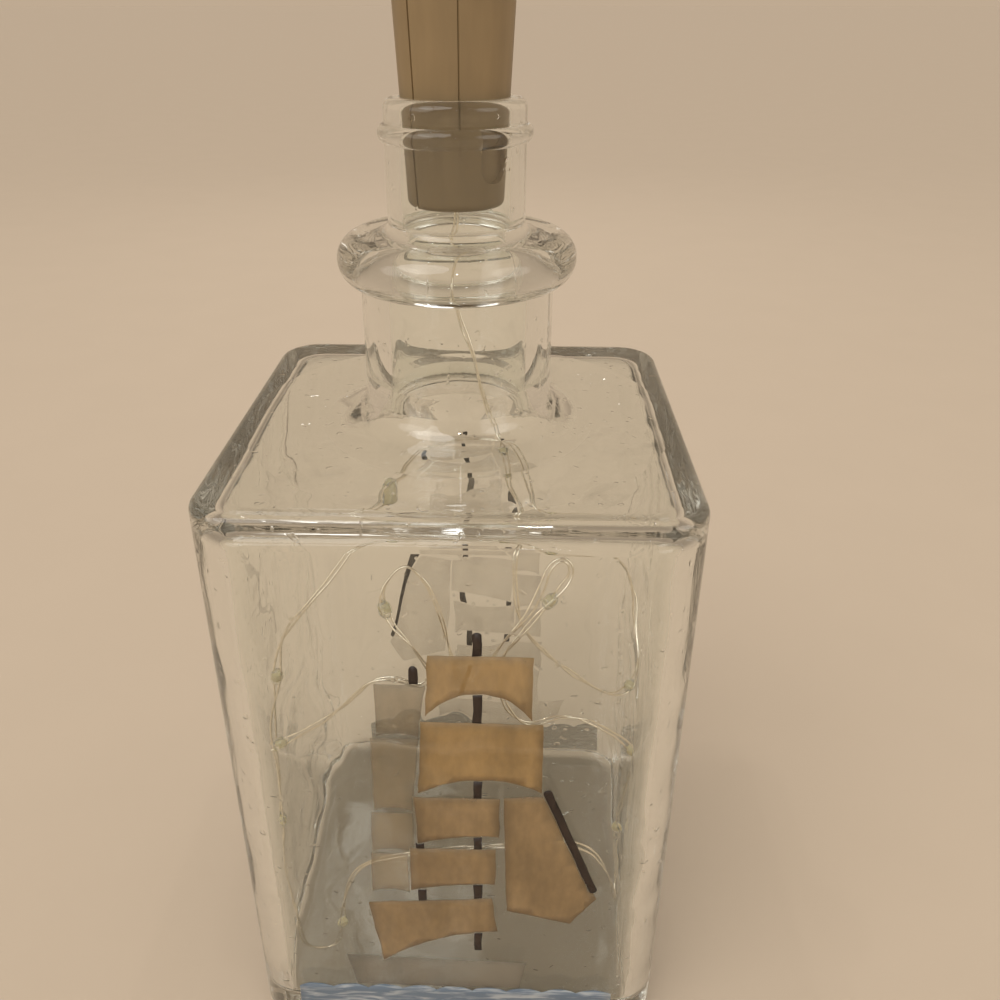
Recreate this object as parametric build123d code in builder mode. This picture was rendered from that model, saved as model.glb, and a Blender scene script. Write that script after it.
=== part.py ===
"""Square glass decanter lit by a cork light: a moulded stopper with cells, a board and a switch
in it, and one string of small LEDs on silver wire hanging loose inside the glass.
A sailing ship of thin cut film is glued on the front wall and again on the back wall.

Millimetres, +Z up, origin at the middle of the bottle's base. The front faces -Y.
"""
from build123d import *
import math
import os

os.makedirs("parts", exist_ok=True)

# Bottle
body_width = 90.0
body_height = 135.0
body_corner_radius = 9.0
shoulder_edge_radius = 2.0
heel_radius = 3.5
shoulder_rise = 2.4
wall = 3.8
shoulder_wall = 4.4
base_thickness = 6.5
cavity_corner_radius = 6.5
cavity_edge_radius = 3.2
punt_radius = 27.0
punt_depth = 0.8
collar_radius = 18.4
collar_foot_radius = 4.5
ring_radius = 22.6
ring_section_radius = 4.8
ring_height = 32.6
neck_radius = 12.8
neck_foot_radius = 2.2
bead_radius = 14.0
bead_section_radius = 1.8
bead_height = 54.6
lip_height = 60.5
lip_edge_radius = 1.8
throat_radius = 13.4
throat_height = 28.0
throat_rise = 8.0
throat_bend_radius = 7.0
throat_flare_radius = 13.5

# Stopper of the cork light
cork_length = 64.0
cork_foot_radius = 8.8
cork_top_radius = 12.1
cork_edge_radius = 1.5
cork_wall = 1.6
cork_end_wall = 2.0
cork_seat_height = 42.2
cork_clearance = 0.3
parting_groove_width = 0.4
parting_groove_depth = 0.3
cover_azimuth = -43.0

# Battery cover and its window, measured up the slanted side of the stopper
cover_low_height = 13.5
cover_low_half_width = 6.2
cover_top_half_width = 7.9
cover_thickness = 3.9
cover_draft = 10.0
cover_clearance = 0.25
cover_pocket_depth = 1.9
cover_pocket_margin = 2.4

# Finger notch and recess below the cover
notch_width = 5.6
notch_height = 2.8
notch_depth = 1.4
recess_width = 5.6
recess_height = 8.0
recess_low_height = 4.6
recess_depth = 1.1

# Battery bay
bay_floor_height = 13.5
bay_floor_thickness = 1.2
bay_height = 20.5
bay_half_width = 5.95
cell_radius = 5.8
cell_thickness = 5.4
cell_edge_radius = 0.4
cell_cap_radius = 4.3
cell_cap_height = 0.3
cell_count = 3
cell_offset = -0.8
cell_gap = 0.02
spring_wire_radius = 0.25
spring_radius = 3.2
spring_turns = 3
contact_radius = 4.2
contact_thickness = 0.4
contact_gap = 0.1

# Board, resistor and inner leads
board_width = 16.8
board_top_gap = 8.1
board_thickness = 1.0
resistor_radius = 1.0
resistor_length = 5.0
resistor_lead_radius = 0.25
resistor_lead_reach = 1.8
lead_radius = 0.35
lead_hole_radius = 0.7
lead_back = -4.3
lead_side = 5.9
lead_bend_radius = 1.2
lead_foot_gap = 0.6

# Slide switch in the top of the stopper
switch_offset = -3.0
switch_length = 9.0
switch_width = 4.4
switch_height = 4.0
switch_stem_length = 2.0
switch_stem_width = 1.6
switch_travel = 3.0
switch_gap = 0.2
switch_stem_depth = 1.1
knob_length = 3.2
knob_width = 2.8
knob_height = 1.2
knob_edge_radius = 0.35

# Bushing that the string comes out of
bushing_radius = 1.5
bushing_flange_radius = 2.1
bushing_flange = 0.4

# LED string
wire_width = 0.7
led_radius = 1.25
led_length = 3.6
led_edge_radius = 0.5
led_bore_clearance = 0.15
wire_bend_share = 0.45

# Ship of cut film, from the sea's top edge up
film = 0.4
mast_film = 0.6
film_gap = 0.2
mast_width = 1.7
sea_low = 4.0
sea_top = 15.5
sea_half_width = 35.0
wave_count = 9
wave_height = 1.2
hull_height = 10.0
ship_height = 97.5
ship_reach = 24.0
rear_sail_rise = 0.8
spar_width = 1.7
mast_tip_share = 0.45
back_shift = 4.1

# Places on the ship are shares of its reach and its height. A sail's corners run from its head's left
# to its foot's left, and the rise of a main sail's foot is in millimetres.
main_sail_corners = [
    [(-0.15, 0.947), (0.64, 0.947), (0.64, 0.797), (-0.18, 0.803)],
    [(-0.22, 0.790), (0.73, 0.788), (0.74, 0.612), (-0.26, 0.604)],
    [(-0.30, 0.594), (0.40, 0.594), (0.40, 0.487), (-0.28, 0.463)],
    [(-0.35, 0.449), (0.37, 0.449), (0.37, 0.344), (-0.36, 0.322)],
    [(-0.74, 0.281), (0.345, 0.300), (0.39, 0.196), (-0.64, 0.090)],
]
main_sail_rises = [5.8, 3.4, 0.8, 0.6, 2.4]
rear_sail_corners = [
    [(-0.56, 0.878), (-0.17, 0.878), (-0.245, 0.752), (-0.57, 0.752)],
    [(-0.62, 0.747), (-0.24, 0.747), (-0.312, 0.556), (-0.63, 0.556)],
    [(-0.66, 0.549), (-0.312, 0.549), (-0.312, 0.438), (-0.67, 0.438)],
    [(-0.69, 0.432), (-0.37, 0.432), (-0.37, 0.315), (-0.70, 0.315)],
]
jib_shares = [(0.43, 0.596), (0.75, 0.603), (1.24, 0.308), (1.03, 0.228), (0.47, 0.264)]
spar_shares = [(0.79, 0.612), (1.205, 0.337)]
hull_shares = [(-0.98, 1.0), (-0.90, 0.0), (0.60, 0.0), (0.66, 0.86)]
main_mast_share = 0.22
rear_mast_share = -0.262
main_mast_runs = [(0.133, 1.0)]
rear_mast_runs = [(0.288, 0.324), (0.447, 0.465), (0.881, 0.922)]

overrun = 20.0

# Heights and slopes worked out from the sizes above
shoulder_top = body_height + shoulder_rise
lip_top = body_height + lip_height
foot_z = body_height + cork_seat_height
cavity_top = body_height - shoulder_wall
cork_slope = (cork_top_radius - cork_foot_radius) / cork_length
slide_angle = math.degrees(math.atan(cork_slope))
bore_radius = cork_foot_radius + cork_slope * (lip_top - foot_z) + cork_clearance
bay_low = bay_floor_height + bay_floor_thickness
bay_top = bay_low + bay_height
upper_low = bay_top + bay_floor_thickness
top_plate_low = cork_length - cork_end_wall
board_height = top_plate_low - upper_low - board_top_gap

cover_x = math.cos(math.radians(cover_azimuth))
cover_y = math.sin(math.radians(cover_azimuth))
cork_plane = Plane(origin=(0, 0, foot_z), x_dir=(cover_x, cover_y, 0), z_dir=(0, 0, 1))
section_plane = Plane(origin=(0, 0, foot_z), x_dir=(cover_x, cover_y, 0), z_dir=(cover_y, -cover_x, 0))
seam_plane = Plane(origin=(0, 0, foot_z), x_dir=(-cover_y, cover_x, 0), z_dir=(cover_x, cover_y, 0))


def write(part, label):
    """Name a finished piece and write its file."""
    part.label = label
    export_step(part, "parts/" + label + ".step")


def cork_point(x, y, z):
    """A point given from the foot of the stopper, x towards the battery cover."""
    return cork_plane.from_local_coords(Vector(x, y, z))


def cork_outline(low, high, inset, edge=0):
    """Half section of the tapered stopper between two heights, set in from its outer face."""
    low_radius = cork_foot_radius + cork_slope * low - inset
    high_radius = cork_foot_radius + cork_slope * high - inset
    with BuildSketch(section_plane) as outline:
        with BuildLine():
            Polyline((0, low), (low_radius, low), (high_radius, high), (0, high), close=True)
        make_face()
        if edge:
            fillet(outline.vertices().filter_by(lambda corner: corner.X > edge), edge)
    return outline.sketch


# Hollow of the bottle, taken out of the glass below
with BuildPart() as hollow:
    with BuildSketch(Plane.XY.offset(base_thickness)):
        RectangleRounded(body_width - 2 * wall, body_width - 2 * wall, cavity_corner_radius)
    extrude(amount=cavity_top - base_thickness)
    fillet(hollow.edges().group_by(Axis.Z)[-1] + hollow.edges().group_by(Axis.Z)[0], cavity_edge_radius)
    # Inside the ring the bore widens into a throat, which flares into the body.
    with BuildSketch(Plane.XZ) as throat_outline:
        with BuildLine():
            Polyline(
                (0, cavity_top - wall),
                (throat_radius, cavity_top - wall),
                (throat_radius, body_height + throat_height),
                (bore_radius, body_height + throat_height + throat_rise),
                (bore_radius, lip_top + overrun),
                (0, lip_top + overrun),
                close=True,
            )
        make_face()
        throat_bends = throat_outline.vertices().filter_by(
            lambda corner: body_height < corner.Y < lip_top
        )
        fillet(throat_bends, throat_bend_radius)
    revolve(axis=Axis.Z)
    throat_foot = hollow.edges().filter_by(GeomType.CIRCLE).filter_by(
        lambda edge: abs(edge.radius - throat_radius) < cork_clearance and edge.center().Z < shoulder_top
    )
    fillet(throat_foot, throat_flare_radius)

# Glass bottle
with BuildPart() as glass_bottle:
    with BuildSketch():
        RectangleRounded(body_width, body_width, body_corner_radius)
    extrude(amount=body_height)
    fillet(glass_bottle.edges().group_by(Axis.Z)[-1], shoulder_edge_radius)
    fillet(glass_bottle.edges().group_by(Axis.Z)[0], heel_radius)
    # The shoulder rises a little from its edge to the collar.
    shoulder_reach = body_width / 2 - shoulder_edge_radius
    with BuildSketch(Plane.XZ):
        with BuildLine():
            Polyline(
                (0, body_height - shoulder_rise),
                (shoulder_reach, body_height - shoulder_rise),
                (shoulder_reach, body_height),
                (collar_radius, shoulder_top),
                (0, shoulder_top),
                close=True,
            )
        make_face()
    revolve(axis=Axis.Z)
    # Collar, ring, neck, bead and lip are one turned outline.
    with BuildSketch(Plane.XZ) as neck_outline:
        with Locations((0, body_height)):
            Rectangle(collar_radius, ring_height, align=(Align.MIN, Align.MIN))
            Rectangle(neck_radius, lip_height, align=(Align.MIN, Align.MIN))
        with Locations((0, body_height + ring_height)):
            Rectangle(
                ring_radius - ring_section_radius,
                2 * ring_section_radius,
                align=(Align.MIN, Align.CENTER),
            )
        with Locations((ring_radius - ring_section_radius, body_height + ring_height)):
            Circle(ring_section_radius)
        with Locations((bead_radius - bead_section_radius, body_height + bead_height)):
            Circle(bead_section_radius)
        lip_corner = neck_outline.vertices().group_by(Axis.Y)[-1].sort_by(Axis.X)[-1]
        fillet(lip_corner, lip_edge_radius)
    revolve(axis=Axis.Z)
    ring_top = body_height + ring_height + ring_section_radius
    collar_foot = glass_bottle.edges().filter_by(GeomType.CIRCLE).filter_by(
        lambda edge: abs(edge.radius - collar_radius) < lip_edge_radius
        and edge.center().Z < body_height + wall
    )
    fillet(collar_foot, collar_foot_radius)
    neck_foot = glass_bottle.edges().filter_by(GeomType.CIRCLE).filter_by(
        lambda edge: abs(edge.radius - neck_radius) < lip_edge_radius
        and abs(edge.center().Z - ring_top) < lip_edge_radius
    )
    fillet(neck_foot, neck_foot_radius)
    add(hollow.part, mode=Mode.SUBTRACT)
    # A shallow punt leaves a flat ring to stand on.
    with BuildSketch(Plane.XZ):
        with BuildLine():
            punt_arc = ThreePointArc((-punt_radius, 0), (0, punt_depth), (punt_radius, 0))
            Line(punt_arc @ 1, punt_arc @ 0)
        make_face()
        split(bisect_by=Plane.YZ)
    revolve(axis=Axis.Z, mode=Mode.SUBTRACT)
write(glass_bottle.part, "glass_bottle")


# Stopper, whole and solid, that its two shells and its cover are cut from
with BuildPart() as cork_form:
    add(cork_outline(0, cork_length, 0, cork_edge_radius))
    revolve(axis=Axis.Z)

# Groove round the stopper where its two shells part
with BuildPart() as parting_groove:
    with BuildSketch(seam_plane):
        Rectangle(4 * cork_top_radius, 2 * (cork_length + overrun))
    extrude(amount=parting_groove_width / 2, both=True)
    with BuildPart(mode=Mode.SUBTRACT):
        add(cork_outline(parting_groove_depth, cork_length - parting_groove_depth, parting_groove_depth))
        revolve(axis=Axis.Z)

# Rooms inside the stopper: outlet, battery bay and board room
with BuildPart() as cork_rooms:
    for low, high in [
        (cork_end_wall, bay_floor_height),
        (bay_low, bay_top),
        (upper_low, top_plate_low),
    ]:
        add(cork_outline(low, high, cork_wall))
    revolve(axis=Axis.Z)

slide_x = math.cos(math.radians(slide_angle))
slide_z = math.sin(math.radians(slide_angle))
cover_seat = cork_foot_radius * slide_x - cover_thickness
seat_normal = cork_point(slide_x, 0, -slide_z) - cork_point(0, 0, 0)
seat_origin = cork_point(slide_x * cover_seat, 0, -slide_z * cover_seat)
seat_plane = Plane(origin=seat_origin, x_dir=(-cover_y, cover_x, 0), z_dir=seat_normal)
cover_spread = (cover_top_half_width - cover_low_half_width) / (cork_length - cover_low_height)


def cover_face(level, grow, low, high):
    """Tapered outline of the cover at a level above its seat, grown all round."""
    side = grow - level * math.tan(math.radians(cover_draft))
    low_half = cover_low_half_width + cover_spread * (low - cover_low_height) + side
    high_half = cover_low_half_width + cover_spread * (high - cover_low_height) + side
    with BuildSketch(seat_plane.offset(level)) as face:
        with BuildLine():
            Polyline(
                (-low_half, low),
                (low_half, low),
                (high_half, high),
                (-high_half, high),
                close=True,
            )
        make_face()
    return face.sketch


# Front shell of the stopper, with the window that the battery cover slides in
with BuildPart() as cork_shell_front:
    add(cork_form.part)
    add(cork_rooms.part, mode=Mode.SUBTRACT)
    add(parting_groove.part, mode=Mode.SUBTRACT)
    split(bisect_by=seam_plane, keep=Keep.TOP)
    window_low = cover_low_height - cover_clearance
    for level in (-cover_clearance, 2 * cover_thickness):
        add(cover_face(level, cover_clearance, window_low, cork_length + overrun))
    loft(mode=Mode.SUBTRACT)
    # The bay is cut a little wider than the cells, so that they come out through the window.
    with BuildSketch(cork_plane.offset(bay_low)):
        Rectangle(cork_top_radius, 2 * bay_half_width, align=(Align.MIN, Align.CENTER))
    extrude(amount=bay_height, mode=Mode.SUBTRACT)
    # Outlet hole for the bushing
    with BuildSketch(cork_plane):
        Circle(bushing_radius)
    extrude(amount=cork_end_wall, mode=Mode.SUBTRACT)
    # Finger notch under the cover's edge, and a recess below it for a fingertip
    notch_reach = cork_foot_radius + cork_slope * cover_low_height
    with BuildSketch(cork_plane.offset(cover_low_height - notch_height)):
        with Locations((notch_reach - notch_depth, 0)):
            Rectangle(overrun, notch_width, align=(Align.MIN, Align.CENTER))
    extrude(amount=notch_height, mode=Mode.SUBTRACT)
    recess_reach = cork_foot_radius + cork_slope * recess_low_height - recess_depth
    recess_origin = cork_point(recess_reach, 0, recess_low_height + recess_height / 2)
    with BuildSketch(Plane(origin=recess_origin, x_dir=(0, 0, 1), z_dir=(cover_x, cover_y, 0))):
        SlotOverall(recess_height, recess_width)
    extrude(amount=overrun, mode=Mode.SUBTRACT)
write(cork_shell_front.part, "cork_shell_front")

# Back shell, with the switch slot in its top and the holes that the inner leads pass
slot_width = switch_stem_width + 2 * switch_gap
slot_length = switch_stem_length + switch_travel + 2 * switch_gap
with BuildPart() as cork_shell_back:
    add(cork_form.part)
    add(cork_rooms.part, mode=Mode.SUBTRACT)
    add(parting_groove.part, mode=Mode.SUBTRACT)
    split(bisect_by=seam_plane, keep=Keep.BOTTOM)
    with BuildSketch(cork_plane):
        Circle(bushing_radius)
    extrude(amount=cork_end_wall, mode=Mode.SUBTRACT)
    with BuildSketch(cork_plane.offset(top_plate_low)):
        with Locations((switch_offset, 0)):
            Rectangle(slot_width, slot_length)
    extrude(amount=cork_end_wall, mode=Mode.SUBTRACT)
    with BuildSketch(cork_plane.offset(bay_floor_height)):
        with Locations((lead_back, -lead_side), (lead_back, lead_side)):
            Circle(lead_hole_radius)
    extrude(amount=upper_low - bay_floor_height, mode=Mode.SUBTRACT)
write(cork_shell_back.part, "cork_shell_back")

# Battery cover: a slice of the stopper's own taper, undercut so that it only slides upwards
with BuildPart() as battery_cover:
    for level in (0, 2 * cover_thickness):
        add(cover_face(level, 0, cover_low_height, cork_length + overrun))
    loft()
    add(cork_form.part, mode=Mode.INTERSECT)
    pocket_low = cover_low_height + cover_pocket_margin
    pocket_high = cork_length - cover_pocket_margin
    add(cover_face(0, -cover_pocket_margin, pocket_low, pocket_high))
    extrude(amount=cover_pocket_depth, mode=Mode.SUBTRACT)
write(battery_cover.part, "battery_cover")

# Button cells, one on the other
stack_low = bay_top - contact_thickness - contact_gap - cell_count * (cell_thickness + cell_gap)
for number in range(cell_count):
    cell_low = stack_low + number * (cell_thickness + cell_gap)
    with BuildPart() as cell:
        with BuildSketch(cork_plane.offset(cell_low)):
            with Locations((cell_offset, 0)):
                Circle(cell_cap_radius)
        extrude(amount=cell_thickness / 2)
        with BuildSketch(cork_plane.offset(cell_low + cell_cap_height)):
            with Locations((cell_offset, 0)):
                Circle(cell_radius)
        extrude(amount=cell_thickness - cell_cap_height)
        rims = cell.edges().filter_by(GeomType.CIRCLE).filter_by(
            lambda edge: abs(edge.radius - cell_radius) < cell_edge_radius
        )
        fillet(rims, cell_edge_radius)
    write(cell.part, f"button_cell_{number + 1}")

# Contact plate above the cells
with BuildPart() as contact_plate:
    with BuildSketch(cork_plane.offset(bay_top - contact_thickness)):
        with Locations((cell_offset, 0)):
            Circle(contact_radius)
    extrude(amount=contact_thickness)
write(contact_plate.part, "contact_plate")

# Spring under the cells
spring_height = stack_low - bay_low - 2 * spring_wire_radius - 2 * cell_gap
with BuildPart() as battery_spring:
    with BuildLine():
        spring_coil = Helix(
            pitch=spring_height / spring_turns,
            height=spring_height,
            radius=spring_radius,
            center=cork_point(cell_offset, 0, bay_low + spring_wire_radius + cell_gap),
        )
    with BuildSketch(Plane(origin=spring_coil @ 0, z_dir=spring_coil % 0)):
        Circle(spring_wire_radius)
    sweep(is_frenet=True)
write(battery_spring.part, "battery_spring")

# Circuit board standing on the bay's ceiling
with BuildPart() as circuit_board:
    with BuildSketch(cork_plane.offset(upper_low)):
        Rectangle(board_thickness, board_width)
    extrude(amount=board_height)
write(circuit_board.part, "circuit_board")

# Resistor on the board's front, its leads bent back to the board
resistor_height = upper_low + board_height / 2
resistor_x = board_thickness / 2 + resistor_radius
resistor_half = resistor_length / 2 + resistor_lead_reach
with BuildPart() as resistor:
    with BuildLine():
        FilletPolyline(
            cork_point(board_thickness / 2, -resistor_half, resistor_height),
            cork_point(resistor_x, -resistor_half, resistor_height),
            cork_point(resistor_x, resistor_half, resistor_height),
            cork_point(board_thickness / 2, resistor_half, resistor_height),
            radius=resistor_radius / 2,
        )
    resistor_foot = cork_point(board_thickness / 2, -resistor_half, resistor_height)
    with BuildSketch(Plane(origin=resistor_foot, z_dir=(cover_x, cover_y, 0))):
        Circle(resistor_lead_radius)
    sweep()
    resistor_end = cork_point(resistor_x, -resistor_length / 2, resistor_height)
    with BuildSketch(Plane(origin=resistor_end, z_dir=(-cover_y, cover_x, 0))):
        Circle(resistor_radius)
    extrude(amount=resistor_length)
write(resistor.part, "resistor")

# Two inner leads, from the board's back down past the cells to the bushing
bushing_top = cork_end_wall + bushing_flange
lead_start = upper_low + lead_hole_radius + lead_bend_radius
for side, name in [(-1, "inner_lead_left"), (1, "inner_lead_right")]:
    lead_end_y = side * lead_foot_gap
    with BuildPart() as inner_lead:
        with BuildLine():
            FilletPolyline(
                cork_point(-board_thickness / 2, side * lead_side, lead_start),
                cork_point(lead_back, side * lead_side, lead_start),
                cork_point(lead_back, side * lead_side, bay_floor_height - lead_bend_radius),
                cork_point(-lead_foot_gap, lead_end_y, bushing_top + 2 * lead_bend_radius),
                cork_point(-lead_foot_gap, lead_end_y, bushing_top),
                radius=lead_bend_radius,
            )
        lead_foot = cork_point(-board_thickness / 2, side * lead_side, lead_start)
        with BuildSketch(Plane(origin=lead_foot, z_dir=(-cover_x, -cover_y, 0))):
            Circle(lead_radius)
        sweep()
    write(inner_lead.part, name)

# Slide switch: its body hangs under the top, and its knob slides in the slot
with BuildPart() as switch_body:
    with BuildSketch(cork_plane.offset(top_plate_low - switch_height)):
        with Locations((switch_offset, 0)):
            Rectangle(switch_width, switch_length)
    extrude(amount=switch_height)
    with BuildSketch(cork_plane.offset(top_plate_low - switch_stem_depth - switch_gap)):
        with Locations((switch_offset, 0)):
            Rectangle(slot_width, slot_length)
    extrude(amount=switch_stem_depth + switch_gap, mode=Mode.SUBTRACT)
write(switch_body.part, "switch_body")

with BuildPart() as switch_knob:
    with BuildSketch(cork_plane.offset(top_plate_low - switch_stem_depth)):
        with Locations((switch_offset, -switch_travel / 2)):
            Rectangle(switch_stem_width, switch_stem_length)
    extrude(amount=switch_stem_depth + cork_end_wall + switch_gap)
    with BuildSketch(cork_plane.offset(cork_length + switch_gap)):
        with Locations((switch_offset, -switch_travel / 2)):
            Rectangle(knob_width, knob_length)
    extrude(amount=knob_height)
    fillet(switch_knob.faces().sort_by(Axis.Z)[-1].edges(), knob_edge_radius)
write(switch_knob.part, "switch_knob")

# Bushing in the foot, flanged on the inside
with BuildPart() as wire_bushing:
    with BuildSketch(cork_plane):
        Circle(bushing_radius)
    extrude(amount=cork_end_wall)
    with BuildSketch(cork_plane.offset(cork_end_wall)):
        Circle(bushing_flange_radius)
    extrude(amount=bushing_flange)
write(wire_bushing.part, "wire_bushing")

# Route of the string's upper stretch, from the stopper's foot down the neck
lead_route = [
    (0, 0, foot_z),
    (0.0, 0.0, 173.6),
    (-1.1, 0.1, 170.0),
    (-1.3, -0.1, 165.0),
    (-0.4, -0.5, 159.5),
]

# Route of the rest, which hangs and leans in the hollow
wire_route = [
    (0.8, -1.0, 154.5),
    (2.7, -2.0, 150.5),
    (3.8, -2.6, 145.5),
    (5.0, -2.4, 140.5),
    (7.0, -1.6, 135.5),
    (8.2, -2.5, 130.3),
    (9.4, -7.5, 127.2),
    (10.2, -14.5, 126.8),
    (10.4, -21.0, 127.6),
    (13.0, -26.5, 126.9),
    (12.2, -31.0, 125.2),
    (11.6, -33.6, 120.6),
    (12.0, -35.2, 114.6),
    (13.1, -35.2, 108.8),
    (15.8, -34.0, 103.6),
    (20.4, -32.0, 97.5),
    (26.0, -29.6, 91.2),
    (33.2, -26.9, 85.0),
    (38.4, -19.6, 86.4),
    (38.3, -13.5, 91.5),
    (37.6, -9.0, 99.5),
    (33.0, -9.0, 107.5),
    (26.0, -13.0, 112.5),
    (20.0, -18.5, 115.6),
    (17.6, -20.6, 119.6),
    (15.4, -20.2, 123.7),
    (13.9, -15.5, 126.2),
    (12.3, -8.5, 127.0),
    (10.0, -2.0, 126.6),
    (5.5, 1.5, 127.2),
    (0.2, 1.0, 127.6),
    (-3.0, -4.0, 127.2),
    (-7.6, -12.0, 126.6),
    (-9.8, -18.5, 127.3),
    (-13.4, -24.5, 127.0),
    (-15.6, -29.5, 126.1),
    (-17.4, -33.4, 123.8),
    (-21.2, -35.4, 118.6),
    (-26.6, -36.9, 112.6),
    (-31.2, -37.0, 106.4),
    (-32.8, -36.2, 99.8),
    (-33.8, -35.4, 92.8),
    (-35.6, -34.0, 84.5),
    (-36.6, -33.0, 74.0),
    (-36.4, -34.0, 62.5),
    (-37.0, -35.4, 51.5),
    (-37.6, -35.8, 41.5),
    (-36.0, -35.6, 31.0),
    (-35.8, -34.6, 21.0),
    (-35.2, -32.0, 11.3),
    (-30.6, -29.4, 8.3),
    (-27.2, -30.4, 14.4),
    (-26.2, -32.0, 25.6),
    (-23.9, -33.4, 36.4),
    (-19.4, -35.0, 45.4),
    (-8.5, -36.8, 50.6),
    (6.0, -37.4, 53.4),
    (18.0, -36.8, 54.2),
    (26.8, -34.6, 51.2),
    (32.0, -31.0, 43.6),
    (34.8, -27.0, 32.6),
    (36.8, -23.0, 20.6),
    (38.2, -17.6, 10.8),
    (38.4, -10.6, 11.6),
    (38.8, -8.0, 22.0),
    (38.4, -9.6, 36.0),
    (38.8, -14.0, 50.0),
    (38.6, -22.0, 62.0),
    (38.3, -29.0, 71.0),
    (34.6, -32.2, 78.6),
    (29.2, -33.4, 83.4),
    (24.2, -34.6, 86.8),
    (20.2, -35.4, 87.4),
    (15.0, -36.6, 86.0),
    (10.8, -37.6, 90.5),
    (9.0, -37.6, 97.0),
    (9.6, -37.4, 103.0),
    (12.9, -36.8, 107.4),
    (16.6, -35.8, 112.2),
    (20.0, -34.4, 116.0),
    (22.4, -33.2, 119.0),
    (20.9, -32.6, 121.9),
    (17.9, -33.3, 120.6),
    (16.9, -34.6, 116.6),
    (14.0, -36.0, 110.9),
    (9.8, -36.6, 106.0),
    (7.4, -36.4, 100.4),
    (5.0, -36.0, 96.4),
    (1.6, -35.8, 96.2),
    (0.3, -35.8, 100.8),
    (-0.6, -36.0, 106.0),
    (-2.0, -36.0, 112.4),
    (-4.4, -35.0, 118.0),
    (-7.6, -34.0, 120.9),
    (-10.6, -34.2, 119.0),
    (-12.8, -35.8, 115.4),
    (-10.9, -37.5, 110.2),
    (-8.1, -38.2, 107.6),
    (-5.4, -38.4, 103.4),
    (-3.2, -38.6, 99.4),
    (-5.6, -38.8, 96.7),
    (-9.6, -38.6, 98.6),
    (-14.6, -38.4, 98.2),
    (-19.1, -38.3, 93.0),
    (-24.6, -38.0, 87.4),
    (-31.6, -37.2, 82.2),
    (-36.2, -36.8, 79.2),
]

# Runs of the route that carry an LED, counted from the neck
led_runs = [7, 18, 24, 34, 41, 45, 52, 58, 65, 69, 79, 96, 106]


def bend_radii(points):
    """As large an arc at each point of a route as its two runs allow."""
    radii = []
    for before, corner, after in zip(points, points[1:], points[2:]):
        into = Vector(*corner) - Vector(*before)
        out = Vector(*after) - Vector(*corner)
        half_turn = math.radians(into.get_angle(out)) / 2
        radii.append(wire_bend_share * min(into.length, out.length) / math.tan(half_turn))
    return radii


splice = tuple((a + b) / 2 for a, b in zip(lead_route[-1], wire_route[0]))
lead_points = lead_route + [splice]
wire_points = [splice] + wire_route
for points, name in [(lead_points, "led_wire_lead"), (wire_points, "led_wire")]:
    radii = bend_radii(points)
    with BuildPart() as led_wire:
        with BuildLine() as wire_line:
            FilletPolyline(*points, radius=radii)
        with BuildSketch(Plane(origin=wire_line.line @ 0, z_dir=wire_line.line % 0)):
            Circle(wire_width / 2)
        sweep()
    write(led_wire.part, name)
    tube_length = sum(edge.length for edge in wire_line.edges())
    tube_volume = math.pi * wire_width**2 / 4 * tube_length
    print(name, "length", round(tube_length, 1), "radii", [round(radius, 1) for radius in radii])
    print(name, "volume against section times length", round(led_wire.part.volume / tube_volume, 5))

# LEDs: clear drops threaded on the wire
for number, run in enumerate(led_runs, start=1):
    run_start = Vector(*wire_points[run])
    run_end = Vector(*wire_points[run + 1])
    with BuildPart() as led:
        with BuildSketch(Plane(origin=(run_start + run_end) / 2, z_dir=run_end - run_start)):
            Circle(led_radius)
            Circle(wire_width / 2 + led_bore_clearance, mode=Mode.SUBTRACT)
        extrude(amount=led_length / 2, both=True)
        rims = led.edges().filter_by(GeomType.CIRCLE).filter_by(lambda edge: edge.radius > wire_width)
        fillet(rims, led_edge_radius)
    write(led.part, f"led_{number:02d}")


def ship_point(x_share, height_share):
    """A place on the ship from its shares of reach and height."""
    return (x_share * ship_reach, sea_top + height_share * ship_height)


def sail(corners, rise):
    """Square sail from its four corners, with its foot cut in an arch."""
    head_left, head_right, foot_right, foot_left = [Vector(*ship_point(*place)) for place in corners]
    foot_middle = (foot_left + foot_right) / 2 + Vector(0, rise)
    with BuildSketch() as panel:
        with BuildLine():
            Polyline(foot_left, head_left, head_right, foot_right)
            ThreePointArc(foot_right, foot_middle, foot_left)
        make_face()
    return panel.sketch


main_sails = [sail(corners, rise) for corners, rise in zip(main_sail_corners, main_sail_rises)]
with BuildSketch() as sail_margin:
    for panel in main_sails:
        add(offset(panel, amount=film_gap, mode=Mode.PRIVATE))

with BuildSketch() as spar_outline:
    spar_top = Vector(*ship_point(*spar_shares[0]))
    spar_low = Vector(*ship_point(*spar_shares[1]))
    with Locations((spar_top + spar_low) / 2):
        SlotCenterToCenter(
            (spar_low - spar_top).length,
            spar_width,
            rotation=math.degrees(math.atan2(spar_low.Y - spar_top.Y, spar_low.X - spar_top.X)),
        )

with BuildSketch() as jib_outline:
    with BuildLine():
        Polyline(*[ship_point(*shares) for shares in jib_shares], close=True)
    make_face()
    add(offset(spar_outline.sketch, amount=film_gap, mode=Mode.PRIVATE), mode=Mode.SUBTRACT)
    add(sail_margin.sketch, mode=Mode.SUBTRACT)

hull_low = sea_top + film_gap
hull_corners = [
    (x_share * ship_reach, hull_low + height_share * hull_height)
    for x_share, height_share in hull_shares
]
with BuildSketch() as hull_outline:
    with BuildLine():
        Polyline(*hull_corners, close=True)
    make_face()
    add(sail_margin.sketch, mode=Mode.SUBTRACT)


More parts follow.
